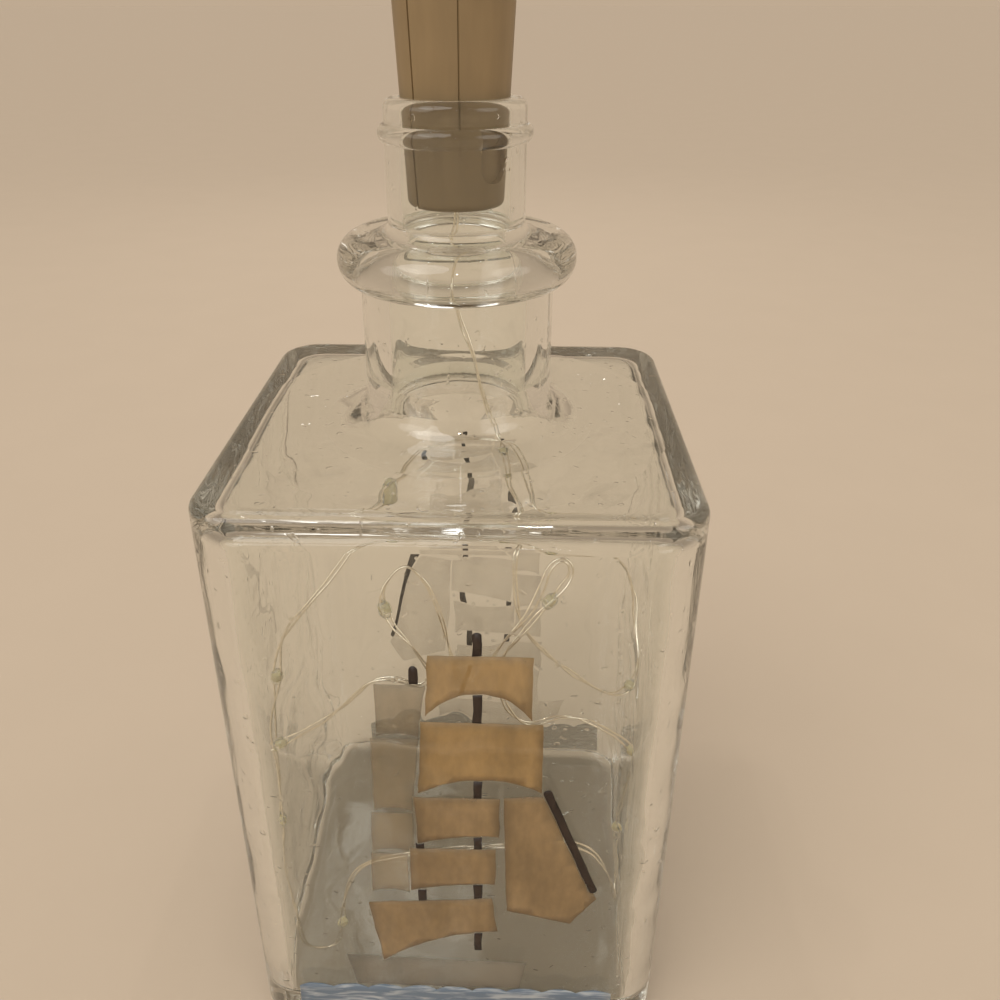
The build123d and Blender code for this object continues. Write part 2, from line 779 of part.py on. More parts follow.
def mast(x_share, runs):
    """The parts of a mast that show above, below and between the sails."""
    with BuildSketch() as strip:
        for low_share, high_share in runs:
            middle, low = ship_point(x_share, low_share)
            middle, high = ship_point(x_share, high_share)
            with Locations((middle, low)):
                Rectangle(mast_width, high - low, align=(Align.CENTER, Align.MIN))
        fillet(strip.vertices().group_by(Axis.Y)[-1], mast_width * mast_tip_share)
        add(sail_margin.sketch, mode=Mode.SUBTRACT)
    return strip.sketch


main_mast = mast(main_mast_share, main_mast_runs)
rear_mast = mast(rear_mast_share, rear_mast_runs)

with BuildSketch() as rear_sails:
    for corners in rear_sail_corners:
        add(sail(corners, rear_sail_rise))
    add(offset(rear_mast, amount=film_gap, mode=Mode.PRIVATE), mode=Mode.SUBTRACT)
    add(sail_margin.sketch, mode=Mode.SUBTRACT)

# The sea's top edge is a row of small waves.
wave_length = 2 * sea_half_width / wave_count
with BuildSketch() as sea_outline:
    with BuildLine():
        trough = sea_top - wave_height
        for wave in range(wave_count):
            wave_left = -sea_half_width + wave * wave_length
            wave_right = wave_left + wave_length
            wave_middle = wave_left + wave_length / 2
            ThreePointArc((wave_left, trough), (wave_middle, sea_top), (wave_right, trough))
        Polyline(
            (sea_half_width, trough),
            (sea_half_width, sea_low),
            (-sea_half_width, sea_low),
            (-sea_half_width, trough),
        )
    make_face()

front_face = Plane(origin=(0, -body_width / 2, 0), x_dir=(1, 0, 0), z_dir=(0, -1, 0))
back_face = Plane(origin=(back_shift, body_width / 2, 0), x_dir=(-1, 0, 0), z_dir=(0, 1, 0))
pieces = [(f"sail_{number}", panel, film) for number, panel in enumerate(main_sails, start=1)]
pieces += [
    ("jib", jib_outline.sketch, film),
    ("rear_sails", rear_sails.sketch, film),
    ("main_mast", main_mast, mast_film),
    ("rear_mast", rear_mast, mast_film),
    ("spar", spar_outline.sketch, mast_film),
    ("hull", hull_outline.sketch, film),
    ("sea", sea_outline.sketch, film),
]
for place, face in [("front", front_face), ("back", back_face)]:
    for name, outline, thickness in pieces:
        with BuildPart() as cut_film:
            with BuildSketch(face):
                add(outline)
            extrude(amount=thickness)
        write(cut_film.part, f"{place}_{name}")
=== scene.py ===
"""Finishes for a cork bottle light: a square glass decanter, the tan stopper with its cells,
the string of small LEDs, the ship of cut film on two walls, and the studio round them.
"""
import math

import bmesh
import bpy
from bpy.props import FloatProperty, FloatVectorProperty, PointerProperty
from mathutils import Matrix, Vector, noise


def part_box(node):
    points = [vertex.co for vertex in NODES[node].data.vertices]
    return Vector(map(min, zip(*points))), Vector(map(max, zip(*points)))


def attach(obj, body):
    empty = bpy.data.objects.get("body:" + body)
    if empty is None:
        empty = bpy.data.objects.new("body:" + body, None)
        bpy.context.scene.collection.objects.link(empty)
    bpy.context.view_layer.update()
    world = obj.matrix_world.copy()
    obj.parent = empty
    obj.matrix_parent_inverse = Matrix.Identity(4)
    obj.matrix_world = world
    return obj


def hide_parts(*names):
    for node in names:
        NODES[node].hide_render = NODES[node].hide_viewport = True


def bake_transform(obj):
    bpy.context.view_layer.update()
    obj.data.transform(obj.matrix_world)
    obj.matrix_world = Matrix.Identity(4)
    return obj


bl_info = {
    "name": "Cork Bottle Light",
    "version": (1, 0, 0),
    "blender": (4, 5, 0),
    "location": "View3D > Sidebar > Bottle Light",
    "description": "Finishes, string, ship and studio for a cork bottle light",
    "category": "Object",
}

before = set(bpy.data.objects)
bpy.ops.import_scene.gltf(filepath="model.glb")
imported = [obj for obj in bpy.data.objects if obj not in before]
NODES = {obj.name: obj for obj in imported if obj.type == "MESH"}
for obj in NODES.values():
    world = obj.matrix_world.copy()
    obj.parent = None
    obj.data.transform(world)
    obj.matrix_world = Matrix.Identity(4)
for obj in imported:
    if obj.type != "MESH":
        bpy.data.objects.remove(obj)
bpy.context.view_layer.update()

MM = 0.001
# Most values of a noise texture lie between these two.
NOISE_SPAN = {"From Min": 0.3, "From Max": 0.7}
# Blender takes the start of its vector noise from the clock, unless it is given a seed.
NOISE_SEED = 7

# Route of the string in metres, from the stopper's foot to its last LED
STRING_ROUTE = [
    (0.0000, 0.0000, 0.1772),
    (0.0000, 0.0000, 0.1736),
    (-0.0011, 0.0001, 0.1700),
    (-0.0013, -0.0001, 0.1650),
    (-0.0004, -0.0005, 0.1595),
    (0.0008, -0.0010, 0.1545),
    (0.0027, -0.0020, 0.1505),
    (0.0038, -0.0026, 0.1455),
    (0.0050, -0.0024, 0.1405),
    (0.0070, -0.0016, 0.1355),
    (0.0082, -0.0025, 0.1303),
    (0.0094, -0.0075, 0.1272),
    (0.0102, -0.0145, 0.1268),
    (0.0104, -0.0210, 0.1276),
    (0.0130, -0.0265, 0.1269),
    (0.0122, -0.0310, 0.1252),
    (0.0116, -0.0336, 0.1206),
    (0.0120, -0.0352, 0.1146),
    (0.0131, -0.0352, 0.1088),
    (0.0158, -0.0340, 0.1036),
    (0.0204, -0.0320, 0.0975),
    (0.0260, -0.0296, 0.0912),
    (0.0332, -0.0269, 0.0850),
    (0.0384, -0.0196, 0.0864),
    (0.0383, -0.0135, 0.0915),
    (0.0376, -0.0090, 0.0995),
    (0.0330, -0.0090, 0.1075),
    (0.0260, -0.0130, 0.1125),
    (0.0200, -0.0185, 0.1156),
    (0.0176, -0.0206, 0.1196),
    (0.0154, -0.0202, 0.1237),
    (0.0139, -0.0155, 0.1262),
    (0.0123, -0.0085, 0.1270),
    (0.0100, -0.0020, 0.1266),
    (0.0055, 0.0015, 0.1272),
    (0.0002, 0.0010, 0.1276),
    (-0.0030, -0.0040, 0.1272),
    (-0.0076, -0.0120, 0.1266),
    (-0.0098, -0.0185, 0.1273),
    (-0.0134, -0.0245, 0.1270),
    (-0.0156, -0.0295, 0.1261),
    (-0.0174, -0.0334, 0.1238),
    (-0.0212, -0.0354, 0.1186),
    (-0.0266, -0.0369, 0.1126),
    (-0.0312, -0.0370, 0.1064),
    (-0.0328, -0.0362, 0.0998),
    (-0.0338, -0.0354, 0.0928),
    (-0.0356, -0.0340, 0.0845),
    (-0.0366, -0.0330, 0.0740),
    (-0.0364, -0.0340, 0.0625),
    (-0.0370, -0.0354, 0.0515),
    (-0.0376, -0.0358, 0.0415),
    (-0.0360, -0.0356, 0.0310),
    (-0.0358, -0.0346, 0.0210),
    (-0.0352, -0.0320, 0.0113),
    (-0.0306, -0.0294, 0.0083),
    (-0.0272, -0.0304, 0.0144),
    (-0.0262, -0.0320, 0.0256),
    (-0.0239, -0.0334, 0.0364),
    (-0.0194, -0.0350, 0.0454),
    (-0.0085, -0.0368, 0.0506),
    (0.0060, -0.0374, 0.0534),
    (0.0180, -0.0368, 0.0542),
    (0.0268, -0.0346, 0.0512),
    (0.0320, -0.0310, 0.0436),
    (0.0348, -0.0270, 0.0326),
    (0.0368, -0.0230, 0.0206),
    (0.0382, -0.0176, 0.0108),
    (0.0384, -0.0106, 0.0116),
    (0.0388, -0.0080, 0.0220),
    (0.0384, -0.0096, 0.0360),
    (0.0388, -0.0140, 0.0500),
    (0.0386, -0.0220, 0.0620),
    (0.0383, -0.0290, 0.0710),
    (0.0346, -0.0322, 0.0786),
    (0.0292, -0.0334, 0.0834),
    (0.0242, -0.0346, 0.0868),
    (0.0202, -0.0354, 0.0874),
    (0.0150, -0.0366, 0.0860),
    (0.0108, -0.0376, 0.0905),
    (0.0090, -0.0376, 0.0970),
    (0.0096, -0.0374, 0.1030),
    (0.0129, -0.0368, 0.1074),
    (0.0166, -0.0358, 0.1122),
    (0.0200, -0.0344, 0.1160),
    (0.0224, -0.0332, 0.1190),
    (0.0209, -0.0326, 0.1219),
    (0.0179, -0.0333, 0.1206),
    (0.0169, -0.0346, 0.1166),
    (0.0140, -0.0360, 0.1109),
    (0.0098, -0.0366, 0.1060),
    (0.0074, -0.0364, 0.1004),
    (0.0050, -0.0360, 0.0964),
    (0.0016, -0.0358, 0.0962),
    (0.0003, -0.0358, 0.1008),
    (-0.0006, -0.0360, 0.1060),
    (-0.0020, -0.0360, 0.1124),
    (-0.0044, -0.0350, 0.1180),
    (-0.0076, -0.0340, 0.1209),
    (-0.0106, -0.0342, 0.1190),
    (-0.0128, -0.0358, 0.1154),
    (-0.0109, -0.0375, 0.1102),
    (-0.0081, -0.0382, 0.1076),
    (-0.0054, -0.0384, 0.1034),
    (-0.0032, -0.0386, 0.0994),
    (-0.0056, -0.0388, 0.0967),
    (-0.0096, -0.0386, 0.0986),
    (-0.0146, -0.0384, 0.0982),
    (-0.0191, -0.0383, 0.0930),
    (-0.0246, -0.0380, 0.0874),
    (-0.0316, -0.0372, 0.0822),
    (-0.0362, -0.0368, 0.0792),
]
LED_COUNT = 13
LED_NODES = [f"led_{number:02d}" for number in range(1, LED_COUNT + 1)]

# The two strands: their radius, how far each is from the line, and how much farther near an LED
STRAND_RADIUS = 0.20 * MM
STRAND_GAP = 0.34 * MM
STRAND_SPREAD = 0.30 * MM
SPREAD_REACH = 5 * MM
# Kinks that each strand has of its own, and how far the pair may turn over a length of wire
KINK_LENGTH = 2.6 * MM
KINK_REACH = 0.09 * MM
TWIST_LENGTH = 22 * MM
TWIST_MOST = 0.8 * math.tau

# A drop's half sizes and a chip's sizes, across and along the wire, with the drop's lumps, the
# chip's bevel, and a distance from the middle that the chip ends within and the drop's skin doesn't
DROP_REACH = (1.2 * MM, 1.2 * MM, 1.8 * MM)
DROP_LUMP_WIDTH = 1.3 * MM
DROP_LUMP_HEIGHT = 0.12 * MM
CHIP_SIZE = (1.2 * MM, 0.9 * MM, 1.3 * MM)
CHIP_BEVEL = 0.12 * MM
CHIP_REACH = 1.0 * MM

# Sheets of film: thickness, gap to the glass, and the part of the CAD film's thickness that its
# waves don't fill
FILM_THICKNESS = 0.1 * MM
FILM_GAP = 0.05 * MM
FILM_SPARE = 0.2 * MM
# Size of the sheet's mesh, its waves along and up the wall, and how its cut edge wanders
FILM_CELL = 2.5 * MM
WAVE_ALONG = 14 * MM
WAVE_UP = 11 * MM
WANDER_LENGTH = 2.2 * MM
WANDER_REACH = 0.22 * MM
# How much the share of light that a film stops goes up and down from blotch to blotch
COVER_CHANGE = 0.06

# Glass: widths of its swells, ripples and seeds, and heights of the last two beside a swell's
GLASS_SWELL_WIDTH = 26 * MM
GLASS_RIPPLE_WIDTH = 5 * MM
GLASS_RIPPLE_HEIGHT = 0.03
GLASS_SEED_WIDTH = 1.7 * MM
GLASS_SEED_HEIGHT = 0.06
# The outer skin and the neck keep this share of the swells. The neck's share sets in between two
# heights.
GLASS_EVEN_SHARE = 0.12
GLASS_SKIN = 1.6 * MM
GLASS_NECK_START = 131 * MM
GLASS_NECK_FULL = 137 * MM

# Gasket ring of a cell: its middle above the cell's foot, and half its width
GASKET_HEIGHT = 0.75 * MM
GASKET_HALF_WIDTH = 0.2 * MM
# Bands of the resistor: place from its middle and colour, half their width, and half its body
RESISTOR_BANDS = [
    (-1.7 * MM, "#5A3217"),
    (-0.8 * MM, "#181614"),
    (0.1 * MM, "#8E2A1B"),
    (1.5 * MM, "#A98436"),
]
BAND_HALF_WIDTH = 0.24 * MM
RESISTOR_HALF_BODY = 2.51 * MM

# Camera of the photograph, in metres and degrees, with its lens in millimetres
CAMERA_PLACE = (0.01041, -0.17769, 0.21063)
CAMERA_TILT = 61.73
CAMERA_TURN = 1.81
CAMERA_LENS = 33.64
CAMERA_SHIFT = 0.0176
CAMERA_NEAR = 0.005
CAMERA_FAR = 50

# Soft windows that show in gloss and in the edges of the glass: direction, and half width in degrees
WINDOWS = [((-0.75, -0.5, 0.5), 14), ((0.8, -0.5, 0.5), 14), ((-0.15, 0.6, 0.8), 5)]
# They fade out at this many half widths. Gloss shows them more brightly than clear glass does.
WINDOW_FADE = 1.6
WINDOW_STRENGTH = 0.7
WINDOW_SHINE = 1.7
# The room's brightness overhead beside the horizon's, and its soft light in the open and in glass
OVERHEAD = 0.60
AMBIENT_OPEN = 0.84
AMBIENT_IN_GLASS = 1.0
# Lamps: places and sizes in metres, the key's spread in degrees, and powers in watts
KEY_PLACE = (-0.5, -0.6, 1.1)
KEY_SPREAD = 40
FRONT_LAMP = (0.03, -0.42, 0.46)
FRONT_SIZE = 25 * MM
FRONT_POWER = 0.25
GLINT_SIZE = 10 * MM
GLINT_POWER = 0.3
# Small ceiling lamps, whose glints run along the edges of the glass
GLINT_LAMPS = [
    (-0.30, 0.05, 1.05),
    (-0.24, 0.00, 1.05),
    (0.08, -0.15, 1.10),
    (0.18, 0.10, 1.05),
    (-0.10, 0.88, 0.56),
    (-0.02, 0.92, 0.61),
]
# The floor lies a little under the bottle's foot, so that no two faces share a place.
FLOOR_RADIUS = 30.0
FLOOR_DROP = 0.1 * MM

# Options that all the colour settings share
COLOUR = {"subtype": "COLOR", "size": 4, "min": 0, "max": 1}


def linear(hex_colour):
    """An sRGB hex colour as a linear colour with full alpha."""
    shares = [int(hex_colour[start : start + 2], 16) / 255 for start in (1, 3, 5)]
    channels = [s / 12.92 if s <= 0.04045 else ((s + 0.055) / 1.055) ** 2.4 for s in shares]
    return (*channels, 1.0)


def add_node(tree, kind, inputs=None, **settings):
    """Adds a node with its settings, and sets or links its inputs."""
    node = tree.nodes.new(kind)
    for name, value in settings.items():
        setattr(node, name, value)
    for key, value in (inputs or {}).items():
        if isinstance(value, bpy.types.NodeSocket):
            tree.links.new(value, node.inputs[key])
        else:
            node.inputs[key].default_value = value
    return node


def new_material(name):
    """An empty material, with its node tree and its Object coordinates."""
    material = bpy.data.materials.new(name)
    material.use_nodes = True
    material.node_tree.nodes.clear()
    place = add_node(material.node_tree, "ShaderNodeTexCoord").outputs["Object"]
    return material, material.node_tree, place


def show(tree, surface, volume=None):
    """Joins the finished shader to the material's output."""
    output = add_node(tree, "ShaderNodeOutputMaterial", {"Surface": surface.outputs[0]})
    if volume:
        tree.links.new(volume.outputs[0], output.inputs["Volume"])


def finish_nodes(material, *names):
    """Gives CAD nodes their finish."""
    for name in names:
        for slot in NODES[name].material_slots:
            slot.link = "OBJECT"
            slot.material = material


def new_piece(name, shape, materials):
    """An object at the origin from a bmesh whose points are in place."""
    mesh = bpy.data.meshes.new(name)
    shape.to_mesh(mesh)
    shape.free()
    mesh.shade_smooth()
    for material in materials:
        mesh.materials.append(material)
    piece = bpy.data.objects.new(name, mesh)
    bpy.context.scene.collection.objects.link(piece)
    return piece


def blown_glass(settings):
    """Soda-lime glass, blown in a mould: the mould leaves the outside smooth, and the inside is
    uneven where the wall is thicker or thinner. It is warm grey where light runs a long way."""
    material, tree, place = new_material("Soda-lime glass, mould-blown")
    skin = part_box("glass_bottle")[1].x - GLASS_SKIN
    axes = add_node(tree, "ShaderNodeSeparateXYZ", {"Vector": place})
    reach = [
        add_node(tree, "ShaderNodeMath", {0: axes.outputs[axis]}, operation="ABSOLUTE") for axis in "XY"
    ]
    reach = add_node(
        tree, "ShaderNodeMath", {0: reach[0].outputs[0], 1: reach[1].outputs[0]}, operation="MAXIMUM"
    )
    outside = add_node(
        tree, "ShaderNodeMath", {0: reach.outputs[0], 1: skin}, operation="GREATER_THAN"
    )
    swell = add_node(
        tree,
        "ShaderNodeTexNoise",
        {"Vector": place, "Scale": 1 / GLASS_SWELL_WIDTH, "Detail": 1, "Distortion": 0.6},
    )
    depth = add_node(
        tree,
        "ShaderNodeMapRange",
        {"Value": outside.outputs[0], "To Min": 1.0, "To Max": GLASS_EVEN_SHARE},
    )
    uneven = add_node(
        tree, "ShaderNodeMath", {0: swell.outputs["Fac"], 1: depth.outputs[0]}, operation="MULTIPLY"
    )
    # The neck is pressed first, and stays even.
    below_neck = add_node(
        tree,
        "ShaderNodeMapRange",
        {
            "Value": axes.outputs["Z"],
            "From Min": GLASS_NECK_START,
            "From Max": GLASS_NECK_FULL,
            "To Min": 1.0,
            "To Max": GLASS_EVEN_SHARE,
        },
        interpolation_type="SMOOTHSTEP",
    )
    uneven = add_node(
        tree, "ShaderNodeMath", {0: uneven.outputs[0], 1: below_neck.outputs[0]}, operation="MULTIPLY"
    )
    # The ripples are drawn out upwards, as the glass was.
    upright = add_node(tree, "ShaderNodeMapping", {"Vector": place, "Scale": (1, 1, 0.22)})
    ripple = add_node(
        tree,
        "ShaderNodeTexNoise",
        {"Vector": upright.outputs[0], "Scale": 1 / GLASS_RIPPLE_WIDTH, "Detail": 1},
    )
    height = add_node(
        tree,
        "ShaderNodeMath",
        {0: ripple.outputs["Fac"], 1: GLASS_RIPPLE_HEIGHT, 2: uneven.outputs[0]},
        operation="MULTIPLY_ADD",
    )
    # Seeds are small bubbles in the glass, which catch the light as dots. They show only where the
    # noise is near its peak.
    bubbles = add_node(
        tree, "ShaderNodeTexNoise", {"Vector": place, "Scale": 1 / GLASS_SEED_WIDTH, "Detail": 0}
    )
    seeds = add_node(
        tree,
        "ShaderNodeMapRange",
        {
            "Value": bubbles.outputs["Fac"],
            "From Min": 0.77,
            "From Max": 0.86,
            "To Max": GLASS_SEED_HEIGHT,
        },
        interpolation_type="SMOOTHSTEP",
    )
    height = add_node(tree, "ShaderNodeMath", {0: height.outputs[0], 1: seeds.outputs[0]}, operation="ADD")
    bump = add_node(
        tree,
        "ShaderNodeBump",
        {"Height": height.outputs[0], "Distance": settings.glass_swell, "Strength": 1.0},
    )
    glass = add_node(
        tree,
        "ShaderNodeBsdfPrincipled",
        {
            "Base Color": linear("#FCFEFC"),
            "Roughness": 0.0,
            "IOR": 1.52,
            "Transmission Weight": 1.0,
            "Normal": bump.outputs["Normal"],
        },
    )
    tint = add_node(
        tree,
        "ShaderNodeVolumeAbsorption",
        {"Color": settings.glass_tint, "Density": settings.glass_density},
    )
    show(tree, glass, tint)
    return material


def moulded_abs(name, colour):
    """ABS, injection moulded in a spark-textured mould: an even satin, with faint flow streaks
    along the draw."""
    material, tree, place = new_material(name)
    along = add_node(tree, "ShaderNodeMapping", {"Vector": place, "Scale": (1, 1, 0.12)})
    streak = add_node(
        tree, "ShaderNodeTexNoise", {"Vector": along.outputs[0], "Scale": 1 / (2.5 * MM), "Detail": 2}
    )
    mottle = add_node(tree, "ShaderNodeTexNoise", {"Vector": place, "Scale": 1 / (11 * MM), "Detail": 2})
    # The sum of the two lies mostly between 0.7 and 1.3.
    tone = add_node(
        tree,
        "ShaderNodeMath",
        {0: streak.outputs["Fac"], 1: mottle.outputs["Fac"]},
        operation="ADD",
    )
    shade = add_node(
        tree,
        "ShaderNodeMapRange",
        {"Value": tone.outputs[0], "From Min": 0.7, "From Max": 1.3, "To Min": 0.90, "To Max": 1.08},
    )
    toned = add_node(
        tree, "ShaderNodeVectorMath", {0: colour[:3], "Scale": shade.outputs[0]}, operation="SCALE"
    )
    # Spark texture is about 0.1 mm, drawn at 0.35 mm so that it shows.
    spark = add_node(tree, "ShaderNodeTexNoise", {"Vector": place, "Scale": 1 / (0.35 * MM), "Detail": 1})
    bump = add_node(
        tree,
        "ShaderNodeBump",
        {"Height": spark.outputs["Fac"], "Distance": 0.02 * MM, "Strength": 0.5},
    )
    rough = add_node(
        tree,
        "ShaderNodeMapRange",
        {"Value": mottle.outputs["Fac"], **NOISE_SPAN, "To Min": 0.42, "To Max": 0.52},
    )
    plastic = add_node(
        tree,
        "ShaderNodeBsdfPrincipled",
        {
            "Base Color": toned.outputs[0],
            "Roughness": rough.outputs[0],
            "IOR": 1.54,
            "Normal": bump.outputs["Normal"],
        },
    )
    show(tree, plastic)
    return material


def nickel_plated_can():
    """Steel cell can, drawn and nickel plated: bright, with fine draw lines round it, and a grey
    nylon gasket ring where the cap is crimped in."""
    material, tree, place = new_material("Nickel-plated steel, drawn")
    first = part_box("button_cell_1")[0].z
    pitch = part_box("button_cell_2")[0].z - first
    height = add_node(tree, "ShaderNodeSeparateXYZ", {"Vector": place}).outputs["Z"]
    above = add_node(tree, "ShaderNodeMath", {0: height, 1: first}, operation="SUBTRACT")
    level = add_node(tree, "ShaderNodeMath", {0: above.outputs[0], 1: pitch}, operation="MODULO")
    ring = add_node(
        tree,
        "ShaderNodeMath",
        {0: level.outputs[0], 1: GASKET_HEIGHT, 2: GASKET_HALF_WIDTH},
        operation="COMPARE",
    )
    colour = add_node(
        tree,
        "ShaderNodeMix",
        {0: ring.outputs[0], 6: linear("#D9D6D0"), 7: linear("#55575A")},
        data_type="RGBA",
    )
    metal = add_node(tree, "ShaderNodeMath", {0: 1.0, 1: ring.outputs[0]}, operation="SUBTRACT")
    flat = add_node(tree, "ShaderNodeMapping", {"Vector": place, "Scale": (0.05, 0.05, 1)})
    lines = add_node(
        tree, "ShaderNodeTexNoise", {"Vector": flat.outputs[0], "Scale": 1 / (0.2 * MM), "Detail": 2}
    )
    rough = add_node(
        tree,
        "ShaderNodeMapRange",
        {"Value": lines.outputs["Fac"], **NOISE_SPAN, "To Min": 0.20, "To Max": 0.36},
    )
    can = add_node(
        tree,
        "ShaderNodeBsdfPrincipled",
        {
            "Base Color": colour.outputs[2],
            "Metallic": metal.outputs[0],
            "Roughness": rough.outputs[0],
        },
    )
    show(tree, can)
    return material


def sheet_metal(name, colour, rough_low, rough_high):
    """Thin metal as rolled or drawn, with handling marks in its gloss."""
    material, tree, place = new_material(name)
    marks = add_node(tree, "ShaderNodeTexNoise", {"Vector": place, "Scale": 1 / (1.2 * MM), "Detail": 4})
    rough = add_node(
        tree,
        "ShaderNodeMapRange",
        {
            "Value": marks.outputs["Fac"],
            **NOISE_SPAN,
            "To Min": rough_low,
            "To Max": rough_high,
        },
    )
    tone = add_node(
        tree,
        "ShaderNodeMapRange",
        {"Value": marks.outputs["Fac"], **NOISE_SPAN, "To Min": 1.0, "To Max": 0.82},
    )
    toned = add_node(
        tree, "ShaderNodeVectorMath", {0: colour[:3], "Scale": tone.outputs[0]}, operation="SCALE"
    )
    metal = add_node(
        tree,
        "ShaderNodeBsdfPrincipled",
        {"Base Color": toned.outputs[0], "Metallic": 1.0, "Roughness": rough.outputs[0]},
    )
    show(tree, metal)
    return material


def masked_laminate():
    """Glass-fibre laminate under green solder mask: glossy, with the cloth's weave showing as a
    fine square relief, and copper tracks as paler green lines."""
    material, tree, place = new_material("FR4 laminate, solder masked")
    weave = add_node(
        tree,
        "ShaderNodeTexVoronoi",
        {"Vector": place, "Scale": 1 / (0.5 * MM), "Randomness": 0.0},
        distance="CHEBYCHEV",
    )
    bump = add_node(
        tree,
        "ShaderNodeBump",
        {"Height": weave.outputs["Distance"], "Distance": 0.02 * MM, "Strength": 0.6},
    )
    tracks = add_node(
        tree,
        "ShaderNodeTexWave",
        {"Vector": place, "Scale": 1 / (7 * MM), "Distortion": 0.0},
        bands_direction="Z",
    )
    # A track is the crest of a wave.
    track = add_node(
        tree, "ShaderNodeMath", {0: tracks.outputs["Fac"], 1: 0.93}, operation="GREATER_THAN"
    )
    colour = add_node(
        tree,
        "ShaderNodeMix",
        {0: track.outputs[0], 6: linear("#14512E"), 7: linear("#2E7A48")},
        data_type="RGBA",
    )
    board = add_node(
        tree,
        "ShaderNodeBsdfPrincipled",
        {
            "Base Color": colour.outputs[2],
            "Roughness": 0.28,
            "IOR": 1.55,
            "Normal": bump.outputs["Normal"],
        },
    )
    show(tree, board)
    return material


def lacquered_resistor():
    """Carbon-film resistor: beige lacquer on a ceramic core, with four colour bands, and tinned
    copper leads."""
    material, tree, place = new_material("Lacquered ceramic, banded")
    low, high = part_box("resistor")
    middle = (low + high) / 2
    board_low, board_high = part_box("circuit_board")
    # The resistor lies along the board's width.
    across = Vector((board_high.x - board_low.x, board_low.y - board_high.y, 0)).normalized()
    from_middle = add_node(
        tree, "ShaderNodeVectorMath", {0: place, 1: middle}, operation="SUBTRACT"
    )
    along = add_node(
        tree,
        "ShaderNodeVectorMath",
        {0: from_middle.outputs[0], 1: across},
        operation="DOT_PRODUCT",
    ).outputs["Value"]
    colour = linear("#CDB185")
    for band_place, band in RESISTOR_BANDS:
        stripe = add_node(
            tree,
            "ShaderNodeMath",
            {0: along, 1: band_place, 2: BAND_HALF_WIDTH},
            operation="COMPARE",
        )
        colour = add_node(
            tree,
            "ShaderNodeMix",
            {0: stripe.outputs[0], 6: colour, 7: linear(band)},
            data_type="RGBA",
        ).outputs[2]
    reach = add_node(tree, "ShaderNodeMath", {0: along}, operation="ABSOLUTE")
    lead = add_node(
        tree,
        "ShaderNodeMath",
        {0: reach.outputs[0], 1: RESISTOR_HALF_BODY},
        operation="GREATER_THAN",
    )
    colour = add_node(
        tree,
        "ShaderNodeMix",
        {0: lead.outputs[0], 6: colour, 7: linear("#C9C7C2")},
        data_type="RGBA",
    )
    body = add_node(
        tree,
        "ShaderNodeBsdfPrincipled",
        {"Base Color": colour.outputs[2], "Metallic": lead.outputs[0], "Roughness": 0.32},
    )
    show(tree, body)
    return material


def pvc_insulation(name, colour):
    """PVC, extruded round the lead: an even gloss with a slight drag along it."""
    material, tree, place = new_material(name)
    drag = add_node(tree, "ShaderNodeTexNoise", {"Vector": place, "Scale": 1 / (0.8 * MM), "Detail": 2})
    rough = add_node(
        tree,
        "ShaderNodeMapRange",
        {"Value": drag.outputs["Fac"], **NOISE_SPAN, "To Min": 0.28, "To Max": 0.42},
    )
    jacket = add_node(
        tree,
        "ShaderNodeBsdfPrincipled",
        {"Base Color": colour, "Roughness": rough.outputs[0], "IOR": 1.53},
    )
    show(tree, jacket)
    return material


def clear_epoxy():
    """Epoxy, dripped over the chip and cured: clear with a faint yellow, and not quite even."""
    material, tree, place = new_material("Epoxy resin, clear")
    lump = add_node(tree, "ShaderNodeTexNoise", {"Vector": place, "Scale": 1 / (1.1 * MM), "Detail": 1})
    bump = add_node(
        tree,
        "ShaderNodeBump",
        {"Height": lump.outputs["Fac"], "Distance": 0.12 * MM, "Strength": 1.0},
    )
    resin = add_node(
        tree,
        "ShaderNodeBsdfPrincipled",
        {
            "Base Color": linear("#FFFAEC"),
            "Roughness": 0.10,
            "IOR": 1.5,
            "Transmission Weight": 0.78,
            "Normal": bump.outputs["Normal"],
        },
    )
    show(tree, resin)
    return material


def phosphor_chip():
    """Silicone with yellow phosphor over the LED's die: matt and grainy."""
    material, tree, place = new_material("Phosphor silicone, yellow")
    grain = add_node(tree, "ShaderNodeTexNoise", {"Vector": place, "Scale": 1 / (0.15 * MM), "Detail": 1})
    colour = add_node(
        tree,
        "ShaderNodeMix",
        {0: grain.outputs["Fac"], 6: linear("#FFE796"), 7: linear("#FFF4CC")},
        data_type="RGBA",
    )
    chip = add_node(
        tree, "ShaderNodeBsdfPrincipled", {"Base Color": colour.outputs[2], "Roughness": 0.6}
    )
    show(tree, chip)
    return material


